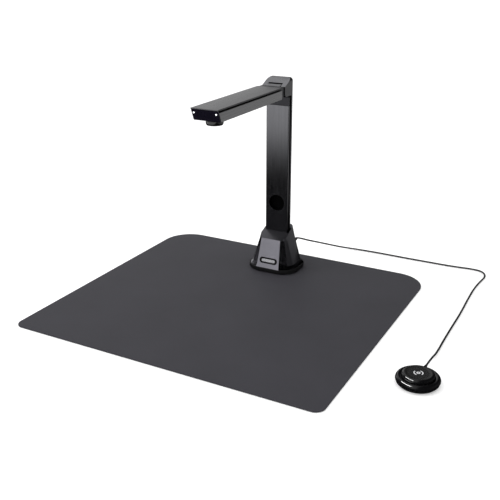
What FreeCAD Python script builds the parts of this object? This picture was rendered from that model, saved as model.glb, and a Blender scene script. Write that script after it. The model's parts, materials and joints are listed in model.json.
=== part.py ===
import FreeCAD, Part
import Sketcher

import math
import os

# Folding document camera with its work mat and its wired hand button.
# Millimetres, +Z up, front of the object towards -Y.
# Origin: on the desk, under the middle of the stand's base.

doc = FreeCAD.newDocument("DocumentCamera")
sheet = doc.addObject("Spreadsheet::Sheet", "Sizes")

# --- Driving dimensions -----------------------------------------------------

DRIVING = {
    # work mat
    "mat_wide": 449, "mat_deep": 411, "mat_thick": 2, "mat_shift": 3.2, "mat_back": 62,
    "mat_back_radius": 45, "mat_front_radius": 13,
    # base: rubber pad, plinth and facetted shell
    "pad_thick": 1, "pad_inset": 3, "plinth_wide": 82, "plinth_deep": 69, "plinth_corner": 27,
    "plinth_top": 9.4, "plinth_wall": 4, "plinth_floor": 2.5, "plinth_rim": 1.2, "well_corner": 14,
    "shell_wall": 2.5, "shell_inner_top": 47, "shaft_gap": 0.1,
    "panel_top": 53.5, "panel_top_front": -21.4, "shoulder_slope": 0.44,
    "panel_foot": 14, "panel_foot_front": -31.4, "shell_rim_front": -33.7, "rim_top": 11, "collar_top": 72,
    "badge_half": 15, "badge_tall": 4.75, "badge_deep": 1.4, "plate_half": 11.6, "plate_tall": 2.4,
    # inside the base: ballast, the column's foot plate and the socket board
    "post_side": 17, "post_front": -10, "post_back": 15, "post_radius": 1.4,
    "ballast_half": 23.5, "ballast_deep": 19, "ballast_foot": 5.6, "ballast_tall": 11,
    "flange_half": 21, "flange_front": -14, "flange_back": 19, "flange_foot": 16.7, "flange_thick": 3.4,
    "io_level": 30.8, "io_half": 17.2, "io_front": 10.6, "io_back": 21, "io_thick": 1.6,
    "usb_side": -12, "usb_half": 4.7, "usb_tall": 3.6, "usb_front": 12, "usb_back": 24.2, "usb_wall": 0.6,
    "socket_half": 4, "socket_tall": 7.1, "socket_front": 11.5, "socket_back": 24.4,
    # column
    "column_wide": 37, "column_front": -2.8, "slab_thick": 2.7, "slab_edge": 0.8, "spine_front": 5.2,
    "column_back": 9.9, "slab_top": 257.6, "slab_foot": 42, "spine_wall": 2,
    "core_wide": 29, "core_front": 0, "core_back": 7.6, "core_wall": 1.5, "core_top": 272.3,
    "cable_front": 5.6, "cable_back": 6, "cable_half": 5, "cable_foot": 35,
    "nest_height": 107.2, "nest_bore": 12, "nest_wall": 0.5, "nest_floor": 4.3, "nest_lip": 0.15,
    # hinge
    "hinge_back": -10.9, "hinge_height": 278.7, "cap_front": -16.9, "cap_foot": 272.5,
    "cap_front_top": 287.4, "cap_top": 297.8, "cap_ridge": 5.5, "cap_corner": 5, "cap_brow": 1.2,
    "cap_chin": 6, "block_top": 270.6, "block_play": 0.1,
    "barrel_radius": 6.8, "barrel_half": 9.2, "barrel_play": 1.1, "cheek_inner": 11.3,
    "pin_radius": 3, "pin_half": 16.8, "bush_radius": 4.5, "bush_long": 3.9, "bush_end": 15.25,
    "washer_radius": 6, "washer_thick": 0.85, "washer_inner": 9.4, "washer_outer": 10.35,
    "slot_front": -11.5, "slot_back": -8.7, "jaw_back": -3.4, "jaw_foot": 265,
    # arm and head
    "arm_wide": 40, "arm_foot": 271.4, "arm_top": 288.2, "arm_rear": -29, "arm_wall": 2,
    "tray_top": 284.2, "cover_foot": 287, "cover_edge": 0.7, "rib_foot": 281, "rib_half": 17.2, "rib_inner": 12,
    "arm_screw_side": 14.6, "arm_screw_rear": -52, "arm_screw_front": -164,
    "neck_half": 17.5, "neck_front": -19.5, "neck_drop": 6.6, "root_front": -44, "ramp_half": 11,
    "head_top_front": -208.3, "head_foot_front": -201.3, "window_thick": 1.6,
    "status_side": 16.2, "status_height": 282.2, "status_radius": 1.1,
    "lens_back": -182.4, "lens_foot": 263.8, "lens_radius": 11.5, "lens_neck": 9, "lens_bore": 8.8,
    "lens_tall": 15.4,
    "lamp_front": -150, "lamp_rear": -62, "lamp_half": 7, "lamp_flange": 2, "chip_half": 1.5,
    # hand button
    "puck_side": 300.7, "puck_back": -235.7, "puck_radius": 26.6, "puck_cap_radius": 19.5,
    "puck_foot_top": 1.2, "puck_lap": 4, "puck_widest": 5.6, "puck_rim_top": 10.4, "puck_top": 14.5,
    "puck_skirt": 8.4, "puck_gland_height": 6.2, "gland_radius": 2.1, "gland_lead": 7.5,
    # cord
    "cord_radius": 1.25, "plug_side": 13, "plug_height": 35.2, "plug_end": 47, "grip_end": 38,
    "grip_start": 25, "tip_start": 13,
}

for row, (alias, value) in enumerate(DRIVING.items(), start=1):
    sheet.set(f"A{row}", alias)
    sheet.set(f"B{row}", str(value))
    sheet.setAlias(f"B{row}", alias)
doc.recompute()


def size(alias):
    """A driving dimension, read back from the sheet."""
    return float(sheet.get(alias))


# --- Helpers for bodies -----------------------------------------------------

PARTS = []


def finished(label, obj):
    """Give a finished sub-part its name and keep it for export."""
    obj.Label = label
    PARTS.append(obj)
    return obj


def new_body(label):
    return finished(label, doc.addObject("PartDesign::Body", label))


def attach(body, name, role, offset=None):
    """A sketch on one of the body's own origin planes, lifted by a sheet expression."""
    sketch = body.newObject("Sketcher::SketchObject", name)
    plane = [f for f in body.Origin.OriginFeatures if f.Role == role][0]
    sketch.AttachmentSupport = [(plane, "")]
    sketch.MapMode = "FlatFace"
    if offset is not None:
        sketch.setExpression("AttachmentOffset.Base.z", offset)
    return sketch


def pin_point(sketch, geometry, position, tag, across, up):
    """Hold one point of a sketch at two sheet expressions."""
    for axis, letter, text in (("DistanceX", "x", across), ("DistanceY", "y", up)):
        value = float(sketch.evalExpression(text))
        index = sketch.addConstraint(Sketcher.Constraint(axis, -1, 1, geometry, position, value))
        sketch.renameConstraint(index, letter + tag)
        sketch.setExpression(f"Constraints.{letter}{tag}", text)


def outline(body, name, role, corners, offset=None):
    """A closed outline of straight sides whose corners are bound to the sheet."""
    sketch = attach(body, name, role, offset)
    places = [FreeCAD.Vector(float(sketch.evalExpression(a)), float(sketch.evalExpression(b)), 0)
              for a, b in corners]
    count = len(corners)
    for i in range(count):
        sketch.addGeometry(Part.LineSegment(places[i], places[(i + 1) % count]), False)
    for i in range(count):
        sketch.addConstraint(Sketcher.Constraint("Coincident", i, 2, (i + 1) % count, 1))
    for i, (across, up) in enumerate(corners):
        pin_point(sketch, i, 1, str(i), across, up)
    return sketch


def circles(body, name, role, centres, radius, offset=None):
    """Circles of one radius about centres bound to the sheet."""
    sketch = attach(body, name, role, offset)
    value = float(sketch.evalExpression(radius))
    for i, (across, up) in enumerate(centres):
        middle = FreeCAD.Vector(float(sketch.evalExpression(across)), float(sketch.evalExpression(up)), 0)
        sketch.addGeometry(Part.Circle(middle, FreeCAD.Vector(0, 0, 1), value), False)
        index = sketch.addConstraint(Sketcher.Constraint("Radius", i, value))
        sketch.renameConstraint(index, f"r{i}")
        sketch.setExpression(f"Constraints.r{i}", radius)
        pin_point(sketch, i, 3, str(i), across, up)
    return sketch


def rectangle(low_across, low_up, high_across, high_up):
    return [(low_across, low_up), (high_across, low_up), (high_across, high_up), (low_across, high_up)]


def pad(body, sketch, length, both_ways=False, backwards=False):
    feature = body.newObject("PartDesign::Pad", sketch.Name + "Pad")
    feature.Profile = sketch
    feature.setExpression("Length", length)
    feature.Midplane = both_ways
    feature.Reversed = backwards
    doc.recompute()
    return feature


def pocket(body, sketch, length, both_ways=False, backwards=False):
    """A pocket that must take material away."""
    before = body.Shape.Volume
    feature = body.newObject("PartDesign::Pocket", sketch.Name + "Pocket")
    feature.Profile = sketch
    feature.setExpression("Length", length)
    feature.Midplane = both_ways
    feature.Reversed = backwards
    doc.recompute()
    if feature.Shape.Volume > before - 0.01:
        raise RuntimeError(f"{feature.Name} cuts nothing")
    return feature


def fillet(body, name, radius, wanted):
    """Round the edges of the body's tip that the test picks out."""
    tip = body.Tip
    names = [f"Edge{i + 1}" for i, edge in enumerate(tip.Shape.Edges) if wanted(edge)]
    if not names:
        raise RuntimeError(f"{name} finds no edge")
    feature = body.newObject("PartDesign::Fillet", name)
    feature.Base = (tip, names)
    feature.setExpression("Radius", radius)
    doc.recompute()
    return feature


def along(edge, axis):
    """True for a straight edge that runs along 0 = X, 1 = Y or 2 = Z."""
    if len(edge.Vertexes) != 2 or edge.Curve.TypeId != "Part::GeomLine":
        return False
    run = edge.Vertexes[1].Point - edge.Vertexes[0].Point
    return abs(abs(run[axis]) - run.Length) < 1e-4


def revolve(body, sketch):
    """A full turn about the sketch's own vertical axis."""
    feature = body.newObject("PartDesign::Revolution", sketch.Name + "Turn")
    feature.Profile = sketch
    feature.ReferenceAxis = (sketch, ["V_Axis"])
    feature.Angle = 360
    doc.recompute()
    return feature


def place(obj, **expressions):
    """Bind an object's position to the sheet."""
    for axis, text in expressions.items():
        obj.setExpression(f"Placement.Base.{axis}", text)


# --- Helpers for plain solids -----------------------------------------------

def box(name, low, high):
    """A box between two corners given as sheet expressions."""
    obj = doc.addObject("Part::Box", name)
    for field, axis, a, b in zip(("Length", "Width", "Height"), "xyz", low, high):
        obj.setExpression(field, f"({b}) - ({a})")
        obj.setExpression(f"Placement.Base.{axis}", a)
    return obj


TURNS = {"x": FreeCAD.Rotation(FreeCAD.Vector(0, 1, 0), 90),
         "y": FreeCAD.Rotation(FreeCAD.Vector(1, 0, 0), -90),
         "z": FreeCAD.Rotation()}


def rod(name, radius, length, start, axis="z", far_radius=None):
    """A cylinder, or a cone when a far radius is given, from start along one axis."""
    if far_radius is None:
        obj = doc.addObject("Part::Cylinder", name)
        obj.setExpression("Radius", radius)
    else:
        obj = doc.addObject("Part::Cone", name)
        obj.setExpression("Radius1", radius)
        obj.setExpression("Radius2", far_radius)
    obj.setExpression("Height", length)
    obj.Placement = FreeCAD.Placement(FreeCAD.Vector(), TURNS[axis])
    place(obj, x=start[0], y=start[1], z=start[2])
    return obj


def cut(name, base, *tools):
    tool = tools[0] if len(tools) == 1 else join(name + "Tools", *tools)
    obj = doc.addObject("Part::Cut", name)
    obj.Base = base
    obj.Tool = tool
    return obj


def join(name, *pieces):
    obj = doc.addObject("Part::MultiFuse", name)
    obj.Shapes = list(pieces)
    return obj


def group(name, pieces):
    """Identical separate solids kept in one node."""
    obj = doc.addObject("Part::Compound", name)
    obj.Links = list(pieces)
    return finished(name, obj)


def tube(name, outer, inner, length, start, axis):
    """A ring or bush: a cylinder with a through bore."""
    return cut(name, rod(name + "Outer", outer, length, start, axis),
               rod(name + "Bore", inner, length, start, axis))


def screw(name, side, back, foot, length, head="2.1", shank="1"):
    """A countersunk screw pointing up, with a cross slot in its head."""
    sunk = rod(name + "Head", head, "1.2", (side, back, foot), far_radius=shank)
    body = rod(name + "Shank", shank, length, (side, back, foot))
    slots = [box(f"{name}Slot{i}",
                 (f"{side} - {a}", f"{back} - {b}", f"{foot} - 0.1"),
                 (f"{side} + {a}", f"{back} + {b}", f"{foot} + 0.5"))
             for i, (a, b) in enumerate((("1.2", "0.25"), ("0.25", "1.2")))]
    return cut(name, join(name + "Solid", sunk, body), *slots)


# --- Work mat ---------------------------------------------------------------

def make_mat():
    body = new_body("work_mat")
    half = "Sizes.mat_wide / 2"
    corners = rectangle(f"Sizes.mat_shift - {half}", "Sizes.mat_back - Sizes.mat_deep",
                        f"Sizes.mat_shift + {half}", "Sizes.mat_back")
    pad(body, outline(body, "MatOutline", "XY_Plane", corners), "Sizes.mat_thick")
    fillet(body, "MatBackCorners", "Sizes.mat_back_radius",
           lambda e: along(e, 2) and e.Vertexes[0].Y > 0)
    fillet(body, "MatFrontCorners", "Sizes.mat_front_radius",
           lambda e: along(e, 2) and e.Vertexes[0].Y < 1 - size("mat_deep") + size("mat_back"))


# --- Base -------------------------------------------------------------------

def rounded_plate(body, name, inset, foot, height):
    """A plate with the plinth's outline, drawn in by an inset."""
    across = f"Sizes.plinth_wide / 2 - {inset}"
    deep = f"Sizes.plinth_deep / 2 - {inset}"
    corners = rectangle(f"-({across})", f"-({deep})", across, deep)
    pad(body, outline(body, name, "XY_Plane", corners, foot), height)
    return fillet(body, name + "Corners", f"Sizes.plinth_corner - {inset}", lambda e: along(e, 2))


def make_plinth():
    pad_body = new_body("foot_pad")
    rounded_plate(pad_body, "FootPad", "Sizes.pad_inset", "Sizes.mat_thick", "Sizes.pad_thick")
    body = new_body("base_plinth")
    foot = "Sizes.mat_thick + Sizes.pad_thick"
    rounded_plate(body, "Plinth", "0", foot, f"Sizes.plinth_top - ({foot})")
    level = [size("plinth_top"), size("mat_thick") + size("pad_thick")]
    fillet(body, "PlinthRims", "Sizes.plinth_rim",
           lambda e: any(abs(e.BoundBox.ZMin - z) + abs(e.BoundBox.ZMax - z) < 1e-4 for z in level))
    inner = "Sizes.plinth_wide / 2 - Sizes.plinth_wall"
    deep = "Sizes.plinth_deep / 2 - Sizes.plinth_wall"
    chamfer = "Sizes.well_corner"
    corners = [(f"-({inner})", f"-({deep}) + {chamfer}"), (f"-({inner}) + {chamfer}", f"-({deep})"),
               (f"{inner} - {chamfer}", f"-({deep})"), (inner, f"-({deep}) + {chamfer}"),
               (inner, f"{deep} - {chamfer}"), (f"{inner} - {chamfer}", deep),
               (f"-({inner}) + {chamfer}", deep), (f"-({inner})", f"{deep} - {chamfer}")]
    pocket(body, outline(body, "PlinthWell", "XY_Plane", corners, "Sizes.plinth_top"),
           f"Sizes.plinth_top - ({foot}) - Sizes.plinth_floor")


# Each level of the facetted shell: height, half width of the front panel, the panel's front,
# the two further corners of the front facets as half width and setback, the back, and
# the chamfer of the rear corners.
SHELL_LEVELS = [
    ("Sizes.plinth_top", "19.5", "Sizes.shell_rim_front", "33.2", "9.5", "39.2", "20", "33.4", "15.5"),
    ("Sizes.rim_top", "19.1", "Sizes.shell_rim_front + 0.6", "32.2", "9.3", "37.6", "19.5", "32.4", "15.3"),
    ("Sizes.panel_foot", "18.5", "Sizes.panel_foot_front", "29.6", "9", "34.8", "18.5", "29.6", "15"),
    ("Sizes.panel_top", "16", "Sizes.panel_top_front", "20.8", "4.6", "23", "10.5", "20.5", "5"),
    ("Sizes.collar_top", "15", "Sizes.panel_top_front + 5", "18.2", "3.4", "20.4", "8", "15.2", "3"),
]


def shell_section(body, name, level, inset):
    """One section of the shell: ten corners, the same number at every height."""
    height, panel, front, knee, knee_back, side, side_back, back, rear_cut = level
    front = f"{front} + {inset}"
    half = [(f"{panel} - {inset} / 2", front), (f"{knee} - {inset}", f"{front} + {knee_back}"),
            (f"{side} - {inset}", f"{front} + {side_back}"),
            (f"{side} - {inset}", f"{back} - {inset} - {rear_cut}"),
            (f"{side} - {inset} - {rear_cut}", f"{back} - {inset}")]
    mirrored = [(f"-({x})", y) for x, y in reversed(half)]
    return outline(body, name, "XY_Plane", half + mirrored, height)


def port(middle, half, tall):
    """The rear opening for a connector that stands on the socket board."""
    return rectangle(f"{middle} - ({half})", "Sizes.io_level", f"{middle} + {half}", f"Sizes.io_level + {tall}")


def make_shell():
    body = new_body("base_shell")
    rings = [shell_section(body, f"ShellRing{i}", level, "0") for i, level in enumerate(SHELL_LEVELS)]
    loft = body.newObject("PartDesign::AdditiveLoft", "ShellOutside")
    loft.Profile = rings[0]
    loft.Sections = rings[1:]
    loft.Ruled = True
    doc.recompute()
    ramp = "Sizes.panel_top + Sizes.shoulder_slope * ({0} - Sizes.panel_top_front)"
    top = [("-45", ramp.format("-45")), ("30", ramp.format("30")), ("30", "95"), ("-45", "95")]
    pocket(body, outline(body, "ShellShoulder", "YZ_Plane", top), "120", both_ways=True)
    rim, body_foot, panel_head = SHELL_LEVELS[0], SHELL_LEVELS[2], SHELL_LEVELS[3]
    inner_levels = [(f"{rim[0]} - 0.5",) + rim[1:], body_foot, ("Sizes.shell_inner_top",) + panel_head[1:]]
    inner = [shell_section(body, f"ShellInner{i}", level, "Sizes.shell_wall")
             for i, level in enumerate(inner_levels)]
    hollow = body.newObject("PartDesign::SubtractiveLoft", "ShellInside")
    hollow.Profile = inner[0]
    hollow.Sections = inner[1:]
    hollow.Ruled = True
    doc.recompute()
    gap = "Sizes.shaft_gap"
    shaft = rectangle(f"-Sizes.column_wide / 2 - {gap}", f"Sizes.column_front - {gap}",
                      f"Sizes.column_wide / 2 + {gap}", f"Sizes.column_back + {gap}")
    pocket(body, outline(body, "ShellShaft", "XY_Plane", shaft, "95"), "60")
    doors = {"ShellButtonDoor": port("Sizes.plug_side", "Sizes.socket_half + 0.1", "Sizes.socket_tall + 0.2"),
             "ShellUsbDoor": port("Sizes.usb_side", "Sizes.usb_half + 0.1", "Sizes.usb_tall + 0.2")}
    for name, corners in doors.items():
        pocket(body, outline(body, name, "XZ_Plane", corners, "-15"), "25")
    seat = badge_outline(body, "ShellBadgeSeat", "Sizes.badge_half", "Sizes.badge_tall")
    pocket(body, seat, "Sizes.badge_deep")


# The front panel leans back; the badge lies square on it.
PANEL_LEAN = math.degrees(math.atan2(size("panel_top_front") - size("panel_foot_front"),
                                     size("panel_top") - size("panel_foot")))
BADGE_HEIGHT = 20.5


def badge_outline(body, name, half_wide, half_tall, lift=0.0):
    """A pill outline on the leaning front panel: two straight sides and two half rounds."""
    sketch = attach(body, name, "XZ_Plane")
    rise = BADGE_HEIGHT - size("panel_foot")
    front = size("panel_foot_front") + rise * math.tan(math.radians(PANEL_LEAN))
    lean = FreeCAD.Rotation(FreeCAD.Vector(1, 0, 0), -PANEL_LEAN)
    sketch.AttachmentOffset = FreeCAD.Placement(
        FreeCAD.Vector(0, BADGE_HEIGHT, -front) + lean.multVec(FreeCAD.Vector(0, 0, lift)), lean)
    tall = float(sketch.evalExpression(half_tall))
    reach = float(sketch.evalExpression(half_wide)) - tall
    for sign in (1, -1):
        sketch.addGeometry(Part.LineSegment(FreeCAD.Vector(-sign * reach, sign * -tall, 0),
                                            FreeCAD.Vector(sign * reach, sign * -tall, 0)), False)
        middle = FreeCAD.Vector(sign * reach, 0, 0)
        start = -math.pi / 2 if sign > 0 else math.pi / 2
        sketch.addGeometry(Part.ArcOfCircle(Part.Circle(middle, FreeCAD.Vector(0, 0, 1), tall),
                                            start, start + math.pi), False)
    for i in range(4):
        sketch.addConstraint(Sketcher.Constraint("Tangent", i, 2, (i + 1) % 4, 1))
    return sketch


def make_badge():
    bezel = new_body("badge_bezel")
    play, floor = "0.1", -size("badge_deep") + 0.05
    pad(bezel, badge_outline(bezel, "BezelOutside", f"Sizes.badge_half - {play}", f"Sizes.badge_tall - {play}",
                             floor), "Sizes.badge_deep + 0.05")
    pocket(bezel, badge_outline(bezel, "BezelInside", f"Sizes.plate_half + {play}", f"Sizes.plate_tall + {play}",
                                0.1), "0.9")
    plate = new_body("badge_plate")
    pad(plate, badge_outline(plate, "BadgePlate", "Sizes.plate_half", "Sizes.plate_tall", -0.78), "0.9")


def make_base_inside():
    posts = [(x, y) for x in ("-Sizes.post_side", "Sizes.post_side")
             for y in ("Sizes.post_front", "Sizes.post_back")]
    body = new_body("ballast")
    block = rectangle("-Sizes.ballast_half", "-Sizes.ballast_deep", "Sizes.ballast_half", "Sizes.ballast_deep")
    pad(body, outline(body, "BallastOutline", "XY_Plane", block, "Sizes.ballast_foot"), "Sizes.ballast_tall")
    pocket(body, circles(body, "BallastHoles", "XY_Plane", posts, "Sizes.post_radius + 1", "Sizes.ballast_foot"),
           "Sizes.ballast_tall", backwards=True)
    foot = new_body("column_foot")
    plate = rectangle("-Sizes.flange_half", "Sizes.flange_front", "Sizes.flange_half", "Sizes.flange_back")
    pad(foot, outline(foot, "FootPlate", "XY_Plane", plate, "Sizes.flange_foot"), "Sizes.flange_thick")
    pocket(foot, circles(foot, "FootHoles", "XY_Plane", posts, "Sizes.post_radius + 0.1", "Sizes.flange_foot"),
           "Sizes.flange_thick", backwards=True)
    lower = doc.getObject("base_plinth")
    pocket(lower, circles(lower, "PlinthScrewHoles", "XY_Plane", posts, "Sizes.post_radius + 0.9",
                          "Sizes.mat_thick"), "4", backwards=True)
    sunk = "Sizes.mat_thick + Sizes.pad_thick + 0.3"
    reach = f"Sizes.flange_foot + Sizes.flange_thick - 0.6 - ({sunk})"
    group("base_screws", [screw(f"BaseScrew{i}", x, y, sunk, reach, "2.2", "Sizes.post_radius")
                          for i, (x, y) in enumerate(posts)])
    level = "Sizes.io_level"
    finished("io_board", box("IoBoard", ("-Sizes.io_half", "Sizes.io_front", f"{level} - Sizes.io_thick"),
                             ("Sizes.io_half", "Sizes.io_back", level)))
    usb, half, wall = "Sizes.usb_side", "Sizes.usb_half", "Sizes.usb_wall"
    can = box("UsbBody", (f"{usb} - {half}", "Sizes.usb_front", f"{level} + 0.1"),
              (f"{usb} + {half}", "Sizes.usb_back", f"{level} + 0.1 + Sizes.usb_tall"))
    slot = box("UsbSlot", (f"{usb} - {half} + {wall}", "Sizes.usb_front + 3", f"{level} + 0.1 + {wall}"),
               (f"{usb} + {half} - {wall}", "Sizes.usb_back + 2", f"{level} + 0.1 + Sizes.usb_tall - {wall}"))
    middle = f"{level} + 0.1 + Sizes.usb_tall / 2"
    tongue = box("UsbTongue", (f"{usb} - 3", "Sizes.usb_front + 2.5", f"{middle} - 0.35"),
                 (f"{usb} + 3", "Sizes.usb_back - 1.7", f"{middle} + 0.35"))
    finished("usb_inlet", join("UsbInletWhole", cut("UsbInlet", can, slot), tongue))
    side, half = "Sizes.plug_side", "Sizes.socket_half"
    block = box("SocketBlock", (f"{side} - {half}", "Sizes.socket_front", f"{level} + 0.1"),
                (f"{side} + {half}", "Sizes.socket_back", f"{level} + 0.1 + Sizes.socket_tall"))
    bore = rod("SocketBore", "1.85", "Sizes.socket_back - Sizes.socket_front + 1",
               (side, "Sizes.tip_start - 0.6", "Sizes.plug_height"), "y")
    finished("button_socket", cut("SocketBody", block, bore))


# --- Column -----------------------------------------------------------------

def make_column():
    half = "Sizes.column_wide / 2"
    slab = new_body("column_slab")
    face = rectangle(f"-{half}", "Sizes.slab_foot", half, "Sizes.slab_top")
    pad(slab, outline(slab, "SlabFace", "XZ_Plane", face, "-Sizes.column_front"), "Sizes.slab_thick",
        backwards=True)
    nest_hole = "Sizes.nest_bore + Sizes.nest_wall + 0.05"
    pocket(slab, circles(slab, "SlabNestHole", "XZ_Plane", [("0", "Sizes.nest_height")], nest_hole,
                         "-Sizes.column_front"), "Sizes.slab_thick + 1")
    fillet(slab, "SlabCorners", "Sizes.slab_edge",
           lambda e: along(e, 2) and abs(e.Vertexes[0].Y - size("column_front")) < 1e-4)

    core = new_body("column_core")
    wide = "Sizes.core_wide / 2"
    ring = rectangle(f"-{wide}", "Sizes.core_front", wide, "Sizes.core_back")
    foot = "(Sizes.flange_foot + Sizes.flange_thick + 0.1)"
    pad(core, outline(core, "CoreOutside", "XY_Plane", ring, foot), f"Sizes.core_top - {foot}")
    wall = "Sizes.core_wall"
    duct = rectangle(f"-{wide} + {wall}", f"Sizes.core_front + {wall}", f"{wide} - {wall}",
                     f"Sizes.core_back - {wall}")
    pocket(core, outline(core, "CoreDuct", "XY_Plane", duct, "Sizes.core_top"), f"Sizes.core_top - {foot}")
    pocket(core, circles(core, "CoreNestHole", "XZ_Plane", [("0", "Sizes.nest_height")], nest_hole,
                         "-Sizes.core_front"), f"{wall} + 0.5")

    block = new_body("hinge_block")
    play = "Sizes.block_play"
    lip = rectangle(f"-{half} + {play}", "Sizes.column_front + 0.25", f"{half} - {play}",
                    "Sizes.column_front + Sizes.slab_thick")
    pad(block, outline(block, "BlockOutline", "XY_Plane", lip, f"Sizes.slab_top + {play}"),
        f"Sizes.block_top - Sizes.slab_top - 2 * {play}")

    nest = doc.addObject("Part::Cut", "NestCup")
    radius = "Sizes.nest_bore + Sizes.nest_wall"
    start = ("0", "Sizes.column_front - Sizes.nest_lip", "Sizes.nest_height")
    deep = "Sizes.nest_floor - Sizes.column_front + Sizes.nest_lip"
    nest.Base = rod("NestOutside", radius, f"{deep} + 1.1", start, "y")
    nest.Tool = rod("NestBore", "Sizes.nest_bore", deep, start, "y")
    finished("lens_nest", nest)
    finished("column_cable", box("ColumnCable", ("-Sizes.cable_half", "Sizes.cable_front", "Sizes.cable_foot"),
                                 ("Sizes.cable_half", "Sizes.cable_back", "Sizes.core_top - 0.4")))


def make_rear_cover():
    """The spine of the column and the hinge housing on top of it, in one casting."""
    body = new_body("rear_cover")
    side = [("Sizes.spine_front", "Sizes.slab_foot"), ("Sizes.column_back", "Sizes.slab_foot"),
            ("Sizes.column_back", "Sizes.cap_top"), ("Sizes.cap_ridge", "Sizes.cap_top"),
            ("Sizes.cap_front", "Sizes.cap_front_top"), ("Sizes.cap_front", "Sizes.cap_foot"),
            ("Sizes.spine_front", "Sizes.cap_foot")]
    pad(body, outline(body, "CoverSide", "YZ_Plane", side), "Sizes.column_wide", both_ways=True)
    fillet(body, "CapFrontFoot", "Sizes.cap_chin",
           lambda e: along(e, 0) and abs(e.Vertexes[0].Y - size("cap_front")) < 1e-4
           and abs(e.Vertexes[0].Z - size("cap_foot")) < 1e-4)
    fillet(body, "CapTopCorners", "Sizes.cap_corner",
           lambda e: e.BoundBox.ZMin > size("cap_top") - 1e-3 and along(e, 1))
    fillet(body, "CapBackEdge", "Sizes.cap_brow",
           lambda e: along(e, 0) and e.Vertexes[0].Z > size("cap_top") - 1e-3
           and e.Vertexes[0].Y > size("column_back") - 0.1)
    inner = "Sizes.column_wide / 2 - Sizes.spine_wall"
    duct = rectangle(f"-({inner})", "Sizes.spine_front", inner, "Sizes.column_back - Sizes.spine_wall")
    pocket(body, outline(body, "SpineDuct", "XY_Plane", duct, "Sizes.slab_foot"),
           "Sizes.core_top + 0.6 - Sizes.slab_foot", backwards=True)
    back, up = "Sizes.hinge_back", "Sizes.hinge_height"
    front, over = "Sizes.cap_front - 13", "Sizes.cap_top + 7"
    jaw = [(front, "Sizes.jaw_foot"), ("Sizes.jaw_back", "Sizes.jaw_foot"), ("Sizes.jaw_back", up),
           ("Sizes.slot_back", up), ("Sizes.slot_back", over), (front, over)]
    pocket(body, outline(body, "CapJaw", "YZ_Plane", jaw), "2 * Sizes.cheek_inner", both_ways=True)
    axis = [(back, up)]
    rooms = (("CapBarrelRoom", "Sizes.barrel_radius + Sizes.barrel_play", "2 * Sizes.cheek_inner"),
             ("CapBushBore", "Sizes.bush_radius + 0.05", "2 * Sizes.bush_end + 0.1"),
             ("CapPinBore", "Sizes.pin_radius + 0.1", "2 * Sizes.pin_half + 0.4"))
    for name, radius, length in rooms:
        pocket(body, circles(body, name, "YZ_Plane", axis, radius), length, both_ways=True)


def make_hinge():
    back, up = "Sizes.hinge_back", "Sizes.hinge_height"
    pin, bush, washer = "Sizes.pin_radius", "Sizes.bush_long", "Sizes.washer_thick"
    finished("hinge_pin", rod("HingePin", pin, "2 * Sizes.pin_half", ("-Sizes.pin_half", back, up), "x"))
    bushes = ("-Sizes.bush_end", f"Sizes.bush_end - {bush}")
    group("hinge_bushes", [tube(f"HingeBush{i}", "Sizes.bush_radius", f"{pin} + 0.02", bush,
                                (start, back, up), "x") for i, start in enumerate(bushes)])
    inner, outer = "Sizes.washer_inner", "Sizes.washer_outer"
    washers = (f"-{outer} - {washer}", f"-{inner} - {washer}", inner, outer)
    group("friction_washers", [tube(f"Washer{i}", "Sizes.washer_radius", f"{pin} + 0.05", washer,
                                    (start, back, up), "x") for i, start in enumerate(washers)])


# --- Arm --------------------------------------------------------------------

def head_front(height, inset="0"):
    """Where the leaning end face of the head lies at a height."""
    share = f"({height} - Sizes.arm_foot) / (Sizes.arm_top - Sizes.arm_foot)"
    return f"Sizes.head_foot_front + {inset} + (Sizes.head_top_front - Sizes.head_foot_front) * {share}"


def arm_profile(body, name, foot, top, inset):
    """Side view of an arm part between two heights, with the leaning front end."""
    return outline(body, name, "YZ_Plane", [("Sizes.arm_rear", foot), ("Sizes.arm_rear", top),
                                            (head_front(top, inset), top), (head_front(foot, inset), foot)])


ARM_SCREWS = [(x, y) for x in ("-Sizes.arm_screw_side", "Sizes.arm_screw_side")
              for y in ("Sizes.arm_screw_rear", "Sizes.arm_screw_front")]


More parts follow.
